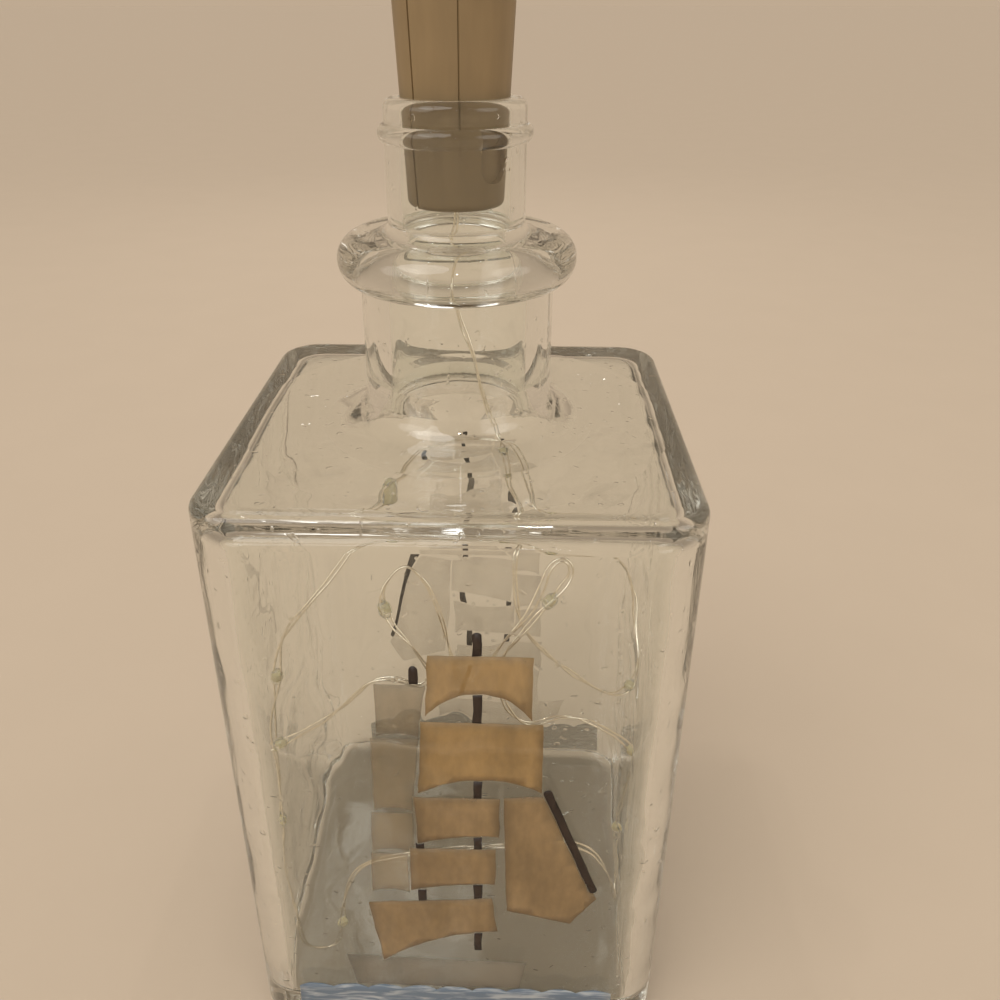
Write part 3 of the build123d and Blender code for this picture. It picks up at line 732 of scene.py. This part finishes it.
def vinyl_film(name, colour, cover, mottle):
    """PVC film, cast thin and cut by hand: satin, see-through in part, with brushed blotches of
    colour, soft wrinkles and a darker cut edge. cover is the share of light that a face stops, and
    mottle the width of a blotch."""
    material, tree, place = new_material(name)
    upright = add_node(tree, "ShaderNodeMapping", {"Vector": place, "Scale": (1, 1, 0.45)})
    blotch = add_node(
        tree, "ShaderNodeTexNoise", {"Vector": upright.outputs[0], "Scale": 1 / mottle, "Detail": 5}
    )
    shade = add_node(
        tree,
        "ShaderNodeMapRange",
        {"Value": blotch.outputs["Fac"], **NOISE_SPAN, "To Min": 0.74, "To Max": 1.20},
    )
    speck = add_node(
        tree, "ShaderNodeTexNoise", {"Vector": upright.outputs[0], "Scale": 1 / (1.4 * MM), "Detail": 4}
    )
    stain = add_node(
        tree,
        "ShaderNodeMapRange",
        {"Value": speck.outputs["Fac"], **NOISE_SPAN, "To Min": 0.88, "To Max": 1.08},
    )
    # The colour is darker along the sheet's cut edge.
    rim = add_node(tree, "ShaderNodeAttribute", attribute_name="rim").outputs["Fac"]
    darker_rim = add_node(tree, "ShaderNodeMapRange", {"Value": rim, "To Min": 1.0, "To Max": 0.78})
    for factor in (stain, darker_rim):
        shade = add_node(
            tree, "ShaderNodeMath", {0: shade.outputs[0], 1: factor.outputs[0]}, operation="MULTIPLY"
        )
    toned = add_node(
        tree, "ShaderNodeVectorMath", {0: colour[:3], "Scale": shade.outputs[0]}, operation="SCALE"
    )
    clear = add_node(
        tree,
        "ShaderNodeMapRange",
        {
            "Value": blotch.outputs["Fac"],
            **NOISE_SPAN,
            "To Min": min(1.0, cover + COVER_CHANGE),
            "To Max": cover - COVER_CHANGE,
        },
    )
    crease = add_node(
        tree, "ShaderNodeTexNoise", {"Vector": upright.outputs[0], "Scale": 1 / (3 * MM), "Detail": 3}
    )
    bump = add_node(
        tree,
        "ShaderNodeBump",
        {"Height": crease.outputs["Fac"], "Distance": 0.25 * MM, "Strength": 0.6},
    )
    film = add_node(
        tree,
        "ShaderNodeBsdfPrincipled",
        {
            "Base Color": toned.outputs[0],
            "Roughness": 0.42,
            "IOR": 1.5,
            "Alpha": clear.outputs[0],
            "Normal": bump.outputs["Normal"],
        },
    )
    show(tree, film)
    return material


def sea_film(name, water, crest, cover):
    """PVC film, cast thin, in the colour of water with pale foam brushed along it. cover is the
    share of light that a face stops."""
    material, tree, place = new_material(name)
    level = add_node(tree, "ShaderNodeMapping", {"Vector": place, "Scale": (0.16, 1, 1)})
    foam = add_node(
        tree,
        "ShaderNodeTexNoise",
        {"Vector": level.outputs[0], "Scale": 1 / (1.2 * MM), "Detail": 4, "Distortion": 0.8},
    )
    pale = add_node(
        tree,
        "ShaderNodeMapRange",
        {"Value": foam.outputs["Fac"], "From Min": 0.46, "From Max": 0.66},
    )
    colour = add_node(
        tree, "ShaderNodeMix", {0: pale.outputs[0], 6: water, 7: crest}, data_type="RGBA"
    )
    film = add_node(
        tree,
        "ShaderNodeBsdfPrincipled",
        {"Base Color": colour.outputs[2], "Roughness": 0.38, "IOR": 1.5, "Alpha": cover},
    )
    show(tree, film)
    return material


def route_line(points):
    """Points along the smooth line of a route."""
    curve = bpy.data.curves.new("string_route", "CURVE")
    curve.dimensions = "3D"
    curve.resolution_u = 12
    spline = curve.splines.new("NURBS")
    spline.points.add(len(points) - 1)
    for control, place in zip(spline.points, points):
        control.co = (*place, 1.0)
    spline.order_u = 3
    spline.use_endpoint_u = True
    guide = bpy.data.objects.new("string_route", curve)
    mesh = bpy.data.meshes.new_from_object(guide)
    line = [vertex.co.copy() for vertex in mesh.vertices]
    bpy.data.objects.remove(guide)
    bpy.data.curves.remove(curve)
    bpy.data.meshes.remove(mesh)
    return line


def directions(line):
    """The direction of a line at each of its points."""
    before = [line[0]] + line[:-1]
    after = line[1:] + [line[-1]]
    return [(there - here).normalized() for here, there in zip(before, after)]


def strand_sides(line):
    """A vector across the line at each point. It wanders slowly round the line, as a loose twin
    wire twists."""
    sides = []
    side = directions(line)[0].orthogonal()
    travelled = 0.0
    last = line[0]
    for place, ahead in zip(line, directions(line)):
        side = (side - ahead * side.dot(ahead)).normalized()
        travelled += (place - last).length
        last = place
        twist = TWIST_MOST * noise.noise(Vector((travelled / TWIST_LENGTH, 3.1, 7.7)))
        sides.append(Matrix.Rotation(twist, 3, ahead) @ side)
    return sides


def twin_wire(line, leds):
    """Mesh of two strands side by side along a line, spread a little where they meet an LED."""
    curve = bpy.data.curves.new("twin_wire", "CURVE")
    curve.dimensions = "3D"
    curve.bevel_depth = STRAND_RADIUS
    curve.bevel_resolution = 2
    curve.use_fill_caps = True
    sides = strand_sides(line)
    for hand in (-1, 1):
        strand = curve.splines.new("POLY")
        strand.points.add(len(line) - 1)
        for point, place, side in zip(strand.points, line, sides):
            nearest = min((place - led).length for led in leds)
            gap = STRAND_GAP + STRAND_SPREAD * math.exp(-((nearest / SPREAD_REACH) ** 2))
            kink = noise.noise_vector(place / KINK_LENGTH + Vector((0, 0, 9 * hand))) * KINK_REACH
            point.co = (*(place + side * hand * gap + kink), 1.0)
    guide = bpy.data.objects.new("twin_wire", curve)
    mesh = bpy.data.meshes.new_from_object(guide)
    bpy.data.objects.remove(guide)
    bpy.data.curves.remove(curve)
    return mesh


def led_drop(node, line, materials):
    """A clear drop of resin over a chip, in the place of a CAD LED and along the wire."""
    centre = sum(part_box(node), Vector()) / 2
    near = min(range(len(line)), key=lambda index: (line[index] - centre).length)
    ahead = directions(line)[near]
    turn = ahead.to_track_quat("Z", "Y").to_matrix().to_4x4()
    place = Matrix.Translation(centre) @ turn
    shape = bmesh.new()
    drop = bmesh.ops.create_uvsphere(shape, u_segments=24, v_segments=16, radius=1.0)["verts"]
    bmesh.ops.scale(shape, vec=DROP_REACH, verts=drop)
    for vertex in drop:
        # The resin sets with soft lumps, and each drop has its own.
        lump = DROP_LUMP_HEIGHT * noise.noise(vertex.co / DROP_LUMP_WIDTH + centre / MM)
        vertex.co += vertex.co.normalized() * lump
    chip = bmesh.ops.create_cube(shape, size=1.0)["verts"]
    bmesh.ops.scale(shape, vec=CHIP_SIZE, verts=chip)
    edges = list({edge for vertex in chip for edge in vertex.link_edges})
    bmesh.ops.bevel(
        shape, geom=edges, offset=CHIP_BEVEL, segments=2, profile=0.5, affect="EDGES", material=-1
    )
    for face in shape.faces:
        if max(vertex.co.length for vertex in face.verts) < CHIP_REACH:
            face.material_index = 1
    bmesh.ops.transform(shape, matrix=place, verts=shape.verts)
    piece = new_piece("resin_" + node, shape, materials)
    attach(piece, "bottle")
    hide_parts(node)
    return piece


def cut_sheet(node, material):
    """A hand-cut sheet with the outline of a CAD film, lying wavy on the glass."""
    low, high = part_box(node)
    outward = -1 if low.y < 0 else 1
    glass_face = min(abs(low.y), abs(high.y)) * outward
    room = (high.y - low.y) - FILM_SPARE
    shape = bmesh.new()
    shape.from_mesh(NODES[node].data)
    bmesh.ops.remove_doubles(shape, verts=shape.verts, dist=0.002 * MM)
    # Only the outer face is kept, and it is cut into cells so that it can wave.
    inner = [face for face in shape.faces if face.normal.y * outward < 0.9]
    bmesh.ops.delete(shape, geom=inner, context="FACES")
    bmesh.ops.dissolve_limit(shape, angle_limit=math.radians(0.5), verts=shape.verts, edges=shape.edges)
    for axis, start, end in [(Vector((1, 0, 0)), low.x, high.x), (Vector((0, 0, 1)), low.z, high.z)]:
        cuts = max(2, round((end - start) / FILM_CELL))
        for cut in range(1, cuts):
            bmesh.ops.bisect_plane(
                shape,
                geom=shape.verts[:] + shape.edges[:] + shape.faces[:],
                dist=0.001 * MM,
                plane_co=axis * (start + (end - start) * cut / cuts),
                plane_no=axis,
            )
    rim = shape.verts.layers.float.new("rim")
    for vertex in shape.verts:
        at = Vector((vertex.co.x / WAVE_ALONG, outward, vertex.co.z / WAVE_UP))
        wave = 0.5 + 0.5 * noise.noise(at)
        vertex.co.y = glass_face + outward * (FILM_GAP + room * wave)
        if vertex.is_boundary:
            # A hand-cut edge wanders a little.
            vertex[rim] = 1.0
            wander = noise.noise_vector(vertex.co / WANDER_LENGTH) * WANDER_REACH
            vertex.co.x += wander.x
            vertex.co.z += wander.z
    made = bmesh.ops.extrude_face_region(shape, geom=shape.faces[:])
    raised = [item for item in made["geom"] if isinstance(item, bmesh.types.BMVert)]
    bmesh.ops.translate(shape, vec=(0, outward * FILM_THICKNESS, 0), verts=raised)
    bmesh.ops.recalc_face_normals(shape, faces=shape.faces)
    sheet = new_piece("sheet_" + node, shape, [material])
    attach(sheet, "bottle")
    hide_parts(node)


class BottleLightSettings(bpy.types.PropertyGroup):
    """Sizes and colours that a user may change"""

    glass_tint: FloatVectorProperty(
        name="Glass Tint",
        description="Colour that light takes on over a long way through the glass",
        default=linear("#B2AF9E"),
        **COLOUR,
    )
    glass_density: FloatProperty(
        name="Glass Tint Density",
        description="How fast the glass takes on its tint, for each metre",
        default=4.5,
        min=0,
    )
    glass_swell: FloatProperty(
        name="Glass Swell",
        description="Height of the swells inside the blown glass",
        subtype="DISTANCE",
        unit="LENGTH",
        default=1.0 * MM,
        min=0,
    )
    stopper_colour: FloatVectorProperty(
        name="Stopper",
        description="Colour of the moulded stopper",
        default=linear("#8C7450"),
        **COLOUR,
    )
    wire_colour: FloatVectorProperty(
        name="Wire",
        description="Colour of the silver strands",
        default=linear("#FFF9EC"),
        **COLOUR,
    )
    sail_colour: FloatVectorProperty(
        name="Sails",
        description="Colour of the front sails",
        default=linear("#AF8C58"),
        **COLOUR,
    )
    floor_colour: FloatVectorProperty(
        name="Floor",
        description="Colour of the floor",
        default=linear("#C2AE97"),
        **COLOUR,
    )
    backdrop_colour: FloatVectorProperty(
        name="Backdrop",
        description="Colour seen beyond the floor",
        default=linear("#BFAA92"),
        **COLOUR,
    )
    key_strength: FloatProperty(
        name="Key Light",
        description="Strength of the large soft light",
        default=0.8,
        min=0,
    )


class BOTTLE_OT_glass(bpy.types.Operator):
    """Finish the glass bottle"""

    bl_idname = "bottle.glass"
    bl_label = "Glass Bottle"

    def execute(self, context):
        finish_nodes(blown_glass(context.scene.bottle_light), "glass_bottle")
        return {"FINISHED"}


class BOTTLE_OT_stopper(bpy.types.Operator):
    """Finish the stopper's shells, cover and bushing"""

    bl_idname = "bottle.stopper"
    bl_label = "Stopper"

    def execute(self, context):
        tan = moulded_abs("ABS, tan", context.scene.bottle_light.stopper_colour)
        finish_nodes(tan, "cork_shell_front", "cork_shell_back", "battery_cover")
        finish_nodes(moulded_abs("ABS, brown", linear("#6E5638")), "wire_bushing")
        return {"FINISHED"}


class BOTTLE_OT_cells(bpy.types.Operator):
    """Finish the button cells and their contacts"""

    bl_idname = "bottle.cells"
    bl_label = "Cells and Contacts"

    def execute(self, context):
        finish_nodes(nickel_plated_can(), "button_cell_1", "button_cell_2", "button_cell_3")
        brass = sheet_metal("Brass, rolled", linear("#C8A45C"), 0.22, 0.40)
        finish_nodes(brass, "contact_plate")
        spring = sheet_metal("Spring steel, nickel plated", linear("#C9C6BF"), 0.20, 0.34)
        finish_nodes(spring, "battery_spring")
        return {"FINISHED"}


class BOTTLE_OT_board(bpy.types.Operator):
    """Finish the circuit board, the resistor and the inner leads"""

    bl_idname = "bottle.board"
    bl_label = "Board and Leads"

    def execute(self, context):
        finish_nodes(masked_laminate(), "circuit_board")
        finish_nodes(lacquered_resistor(), "resistor")
        finish_nodes(pvc_insulation("PVC insulation, red", linear("#9C2219")), "inner_lead_left")
        finish_nodes(pvc_insulation("PVC insulation, black", linear("#1E1D1C")), "inner_lead_right")
        return {"FINISHED"}


class BOTTLE_OT_switch(bpy.types.Operator):
    """Finish the slide switch"""

    bl_idname = "bottle.switch"
    bl_label = "Slide Switch"

    def execute(self, context):
        finish_nodes(moulded_abs("Nylon, black", linear("#2A2927")), "switch_body", "switch_knob")
        return {"FINISHED"}


class BOTTLE_OT_string(bpy.types.Operator):
    """Make the twin wire and the LEDs on it"""

    bl_idname = "bottle.string"
    bl_label = "LED String"

    def execute(self, context):
        line = route_line(STRING_ROUTE)
        materials = [clear_epoxy(), phosphor_chip()]
        drops = [led_drop(node, line, materials) for node in LED_NODES]
        centres = [sum(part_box(node), Vector()) / 2 for node in LED_NODES]
        mesh = twin_wire(line, centres)
        silver = sheet_metal(
            "Silver-plated copper, drawn", context.scene.bottle_light.wire_colour, 0.10, 0.24
        )
        mesh.materials.append(silver)
        mesh.shade_smooth()
        wire = bpy.data.objects.new("twin_wire", mesh)
        context.scene.collection.objects.link(wire)
        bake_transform(wire)
        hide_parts("led_wire", "led_wire_lead")
        return {"FINISHED"}


class BOTTLE_OT_ship(bpy.types.Operator):
    """Cut the ship's sheets for both walls"""

    bl_idname = "bottle.ship"
    bl_label = "Ship of Film"

    def execute(self, context):
        sail = vinyl_film("Vinyl film, tan", context.scene.bottle_light.sail_colour, 0.62, 9 * MM)
        duller = vinyl_film("Vinyl film, faded tan", linear("#A08259"), 0.64, 9 * MM)
        pale = vinyl_film("Vinyl film, pale tan", linear("#A5906F"), 0.36, 18 * MM)
        # The back wall's film lets more light through than the front's, and its tan is painted lighter to
        # offset the shade that falls on it behind the glass.
        thin = vinyl_film("Vinyl film, thin tan", linear("#D0B488"), 0.13, 9 * MM)
        mast = vinyl_film("Vinyl film, dark brown", linear("#33231A"), 0.90, 4 * MM)
        hull = vinyl_film("Vinyl film, grey", linear("#8F8473"), 0.38, 16 * MM)
        seas = {
            "front": sea_film("Vinyl film, sea blue", linear("#778798"), linear("#C6CACB"), 0.62),
            "back": sea_film("Vinyl film, thin grey", linear("#9A9688"), linear("#D2CDC0"), 0.42),
        }
        walls = {"front": (sail, duller, pale, hull), "back": (thin, thin, thin, thin)}
        for wall, (upper, lower, behind, boat) in walls.items():
            for number in range(1, 6):
                # On the front, the two uppermost sails are a brighter tan than the rest.
                cut_sheet(f"{wall}_sail_{number}", upper if number < 3 else lower)
            cut_sheet(f"{wall}_jib", lower)
            cut_sheet(f"{wall}_rear_sails", behind)
            for name in ("main_mast", "rear_mast", "spar"):
                cut_sheet(f"{wall}_{name}", mast)
            cut_sheet(f"{wall}_hull", boat)
            cut_sheet(f"{wall}_sea", seas[wall])
        return {"FINISHED"}


class BOTTLE_OT_studio(bpy.types.Operator):
    """Set the floor, the backdrop, the lights and the camera"""

    bl_idname = "bottle.studio"
    bl_label = "Studio"

    def execute(self, context):
        settings = context.scene.bottle_light
        self.lay_floor(context, settings.floor_colour)
        self.hang_backdrop(context, settings.backdrop_colour)
        self.place_lights(context, settings.key_strength)
        self.place_camera(context)
        context.scene.view_settings.view_transform = "Standard"
        # Light crosses many faces of glass before it leaves.
        cycles = context.scene.cycles
        cycles.max_bounces = 48
        cycles.glossy_bounces = 40
        cycles.transmission_bounces = 40
        cycles.transparent_max_bounces = 24
        return {"FINISHED"}

    def lay_floor(self, context, colour):
        """A wide round sheet of matt paper."""
        material, tree, place = new_material("Paper, matt")
        fibre = add_node(tree, "ShaderNodeTexNoise", {"Vector": place, "Scale": 1 / (40 * MM), "Detail": 3})
        tone = add_node(
            tree,
            "ShaderNodeMapRange",
            {"Value": fibre.outputs["Fac"], **NOISE_SPAN, "To Min": 0.985},
        )
        toned = add_node(
            tree,
            "ShaderNodeVectorMath",
            {0: colour[:3], "Scale": tone.outputs[0]},
            operation="SCALE",
        )
        paper = add_node(
            tree,
            "ShaderNodeBsdfPrincipled",
            {"Base Color": toned.outputs[0], "Roughness": 0.95, "Specular IOR Level": 0.1},
        )
        show(tree, paper)
        shape = bmesh.new()
        bmesh.ops.create_circle(shape, cap_ends=True, segments=96, radius=FLOOR_RADIUS)
        bmesh.ops.translate(shape, vec=(0, 0, -FLOOR_DROP), verts=shape.verts)
        mesh = bpy.data.meshes.new("floor")
        shape.to_mesh(mesh)
        shape.free()
        mesh.materials.append(material)
        floor = bpy.data.objects.new("floor", mesh)
        context.scene.collection.objects.link(floor)

    def hang_backdrop(self, context, colour):
        """A world that is the backdrop to the eye, in gloss and through glass, and a plain soft
        light to everything else."""
        world = bpy.data.worlds.new("backdrop")
        world.use_nodes = True
        tree = world.node_tree
        tree.nodes.clear()
        rays = add_node(tree, "ShaderNodeLightPath")
        seen = add_node(
            tree,
            "ShaderNodeMath",
            {0: rays.outputs["Is Camera Ray"], 1: rays.outputs["Is Glossy Ray"]},
            operation="MAXIMUM",
        )
        seen = add_node(
            tree,
            "ShaderNodeMath",
            {0: seen.outputs[0], 1: rays.outputs["Is Transmission Ray"]},
            operation="MAXIMUM",
        )
        fresh = add_node(
            tree, "ShaderNodeMath", {0: rays.outputs["Diffuse Depth"], 1: 0.5}, operation="LESS_THAN"
        )
        seen = add_node(
            tree, "ShaderNodeMath", {0: seen.outputs[0], 1: fresh.outputs[0]}, operation="MULTIPLY"
        )
        backdrop = self.room(tree, rays, colour)
        # What the glass holds gets no light of the lamps, so it gets a little more of the room's.
        inside = add_node(
            tree,
            "ShaderNodeMapRange",
            {
                "Value": rays.outputs["Is Transmission Ray"],
                "To Min": AMBIENT_OPEN,
                "To Max": AMBIENT_IN_GLASS,
            },
        )
        ambient = add_node(
            tree,
            "ShaderNodeBackground",
            {"Color": linear("#F4F1EC"), "Strength": inside.outputs[0]},
        )
        either = add_node(
            tree,
            "ShaderNodeMixShader",
            {0: seen.outputs[0], 1: ambient.outputs[0], 2: backdrop.outputs[0]},
        )
        add_node(tree, "ShaderNodeOutputWorld", {"Surface": either.outputs[0]})
        context.scene.world = world

    def room(self, tree, rays, colour):
        """What gloss and glass show of the room: the backdrop's colour at the horizon, dimmer
        overhead, with soft white windows. The eye itself sees the plain backdrop."""
        direct = rays.outputs["Is Camera Ray"]
        towards = add_node(tree, "ShaderNodeTexCoord").outputs["Generated"]
        upwards = add_node(tree, "ShaderNodeSeparateXYZ", {"Vector": towards}).outputs["Z"]
        level = add_node(
            tree,
            "ShaderNodeMapRange",
            {"Value": upwards, "From Min": 0.05, "From Max": 0.6, "To Min": 1.0, "To Max": OVERHEAD},
            interpolation_type="SMOOTHSTEP",
        )
        level = add_node(
            tree, "ShaderNodeMapRange", {"Value": direct, "To Min": level.outputs[0], "To Max": 1.0}
        )
        walls = add_node(tree, "ShaderNodeBackground", {"Color": colour, "Strength": level.outputs[0]})
        # Gloss throws the windows back more brightly than glass lets them through.
        shine = add_node(
            tree,
            "ShaderNodeMapRange",
            {"Value": rays.outputs["Glossy Depth"], "To Min": WINDOW_STRENGTH, "To Max": WINDOW_SHINE},
        )
        full = add_node(
            tree, "ShaderNodeMapRange", {"Value": direct, "To Min": shine.outputs[0], "To Max": 0.0}
        )
        for window, half_width in WINDOWS:
            facing = add_node(
                tree,
                "ShaderNodeVectorMath",
                {0: towards, 1: Vector(window).normalized()},
                operation="DOT_PRODUCT",
            )
            glow = add_node(
                tree,
                "ShaderNodeMapRange",
                {
                    "Value": facing.outputs["Value"],
                    "From Min": math.cos(math.radians(WINDOW_FADE * half_width)),
                    "From Max": math.cos(math.radians(half_width)),
                    "To Max": full.outputs[0],
                },
                interpolation_type="SMOOTHSTEP",
            )
            pane = add_node(
                tree,
                "ShaderNodeBackground",
                {"Color": linear("#F8F5EF"), "Strength": glow.outputs[0]},
            )
            walls = add_node(tree, "ShaderNodeAddShader", {0: walls.outputs[0], 1: pane.outputs[0]})
        return walls

    def place_lights(self, context, strength):
        """A large soft light above and left, a lamp by the camera for the strands' shine, and
        small ceiling lamps that give the glass its glints."""
        sun = bpy.data.lights.new("key", "SUN")
        sun.energy = strength
        sun.angle = math.radians(KEY_SPREAD)
        self.aim_light(context, sun, Vector(KEY_PLACE))
        front = bpy.data.lights.new("front", "AREA")
        front.shape = "DISK"
        front.size = FRONT_SIZE
        front.energy = FRONT_POWER
        self.aim_light(context, front, Vector(FRONT_LAMP)).visible_camera = False
        for number, place in enumerate(GLINT_LAMPS):
            lamp = bpy.data.lights.new(f"glint_{number + 1}", "AREA")
            lamp.shape = "DISK"
            lamp.size = GLINT_SIZE
            lamp.energy = GLINT_POWER
            self.aim_light(context, lamp, Vector(place)).visible_camera = False

    def aim_light(self, context, lamp, place):
        """Puts a lamp in its place, pointing at the middle of the bottle, and returns its object."""
        middle = sum(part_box("glass_bottle"), Vector()) / 2
        piece = bpy.data.objects.new(lamp.name, lamp)
        piece.location = place
        piece.rotation_euler = (middle - place).to_track_quat("-Z", "Y").to_euler()
        context.scene.collection.objects.link(piece)
        return piece

    def place_camera(self, context):
        """The photograph's camera, close to the bottle and looking down at it."""
        camera = bpy.data.cameras.new("camera")
        camera.lens = CAMERA_LENS
        camera.shift_x = CAMERA_SHIFT
        camera.clip_start = CAMERA_NEAR
        camera.clip_end = CAMERA_FAR
        piece = bpy.data.objects.new("camera", camera)
        piece.location = CAMERA_PLACE
        piece.rotation_euler = (math.radians(CAMERA_TILT), 0, math.radians(CAMERA_TURN))
        context.scene.collection.objects.link(piece)
        context.scene.camera = piece


class BOTTLE_PT_light(bpy.types.Panel):
    """Lists the bottle light's settings and pieces"""

    bl_label = "Bottle Light"
    bl_idname = "BOTTLE_PT_light"
    bl_space_type = "VIEW_3D"
    bl_region_type = "UI"
    bl_category = "Bottle Light"

    def draw(self, context):
        settings = context.scene.bottle_light
        for name in BottleLightSettings.__annotations__:
            self.layout.prop(settings, name)
        for operator in OPERATORS:
            self.layout.operator(operator.bl_idname)


OPERATORS = (
    BOTTLE_OT_glass,
    BOTTLE_OT_stopper,
    BOTTLE_OT_cells,
    BOTTLE_OT_board,
    BOTTLE_OT_switch,
    BOTTLE_OT_string,
    BOTTLE_OT_ship,
    BOTTLE_OT_studio,
)
CLASSES = (BottleLightSettings, *OPERATORS, BOTTLE_PT_light)


def register():
    noise.seed_set(NOISE_SEED)
    for each in CLASSES:
        bpy.utils.register_class(each)
    bpy.types.Scene.bottle_light = PointerProperty(type=BottleLightSettings)


def unregister():
    del bpy.types.Scene.bottle_light
    for each in reversed(CLASSES):
        bpy.utils.unregister_class(each)


def main():
    register()
    bpy.ops.bottle.glass()
    bpy.ops.bottle.stopper()
    bpy.ops.bottle.cells()
    bpy.ops.bottle.board()
    bpy.ops.bottle.switch()
    bpy.ops.bottle.string()
    bpy.ops.bottle.ship()
    bpy.ops.bottle.studio()


if __name__ == "__main__":
    main()
